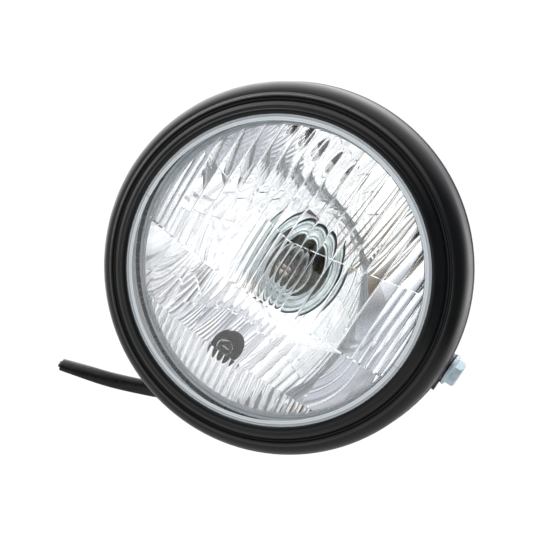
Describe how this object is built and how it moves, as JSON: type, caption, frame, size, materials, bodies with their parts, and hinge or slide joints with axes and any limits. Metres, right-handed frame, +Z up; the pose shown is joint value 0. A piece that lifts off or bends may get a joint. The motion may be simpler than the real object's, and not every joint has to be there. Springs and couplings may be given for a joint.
{
  "type": "round motorcycle headlight",
  "caption": "Round headlight with a stepped rim, a domed fluted glass lens, a bowl reflector, a deep rounded shell, side bolts for fork ears and a short cut cable sleeve.",
  "frame": {"origin": "middle of the two side bolts' common axis, on the lamp's own axis, 45 mm behind the edge of the glass", "axes": "-Y the way the beam leaves, +Z up, +X at the right of someone facing the lens, along the side bolts' axis"},
  "size_m": [0.1992, 0.124, 0.2259],
  "materials": {
    "black_paint": "satin black stoved paint on pressed steel",
    "zinc_steel": "zinc-plated steel",
    "lens_glass": "clear pressed glass, faintly green at the edge",
    "black_rubber": "matt black moulded rubber",
    "mirror_coat": "bright aluminised coat on pressed steel",
    "collar_zinc": "pressed zinc-plated steel, slightly green",
    "bulb_glass": "thin clear blown glass",
    "stem_glass": "pinched clear glass stem",
    "filament_wire": "bare drawn wire",
    "base_brass": "aged, dulled brass",
    "dark_insulator": "moulded dark insulator",
    "blue_wire": "blue wire insulation",
    "white_wire": "white wire insulation",
    "black_wire": "black wire insulation",
    "brown_wire": "brown wire insulation",
    "bolt_zinc": "blue-white zinc plating",
    "tab_steel": "plain cold-rolled steel",
    "sleeve_vinyl": "soft black vinyl sleeve, flattened"
  },
  "bodies": {
    "root": {"shell": "black_paint", "rim": "black_paint", "rim_hook": "zinc_steel", "rim_screw": "zinc_steel", "rim_nut": "zinc_steel", "retaining_clips": "zinc_steel", "lens": "lens_glass", "lens_gasket": "black_rubber", "reflector": "mirror_coat", "bulb_collar": "collar_zinc", "bulb_glass": "bulb_glass", "bulb_stem": "stem_glass", "bulb_filaments": "filament_wire", "bulb_shield": "filament_wire", "bulb_base": "base_brass", "bulb_insulator": "dark_insulator", "bulb_contacts": "filament_wire", "socket_cap": "zinc_steel", "socket_spring": "zinc_steel", "socket_body": "dark_insulator", "bulb_boot": "black_rubber", "position_holder": "black_rubber", "position_bulb": "bulb_glass", "position_filament": "filament_wire", "grommet": "black_rubber", "wire_blue": "blue_wire", "wire_white": "white_wire", "wire_black": "black_wire", "wire_brown": "brown_wire", "side_bolt_right": "bolt_zinc", "side_bolt_left": "bolt_zinc", "bolt_washer_right": "black_rubber", "bolt_washer_left": "black_rubber", "tab_washer_right": "tab_steel", "tab_washer_left": "tab_steel", "weld_nut_right": "zinc_steel", "weld_nut_left": "zinc_steel", "cord_sleeve": "sleeve_vinyl", "wire_end_blue": "blue_wire", "wire_end_brown": "brown_wire"}
  },
  "joints": []
}
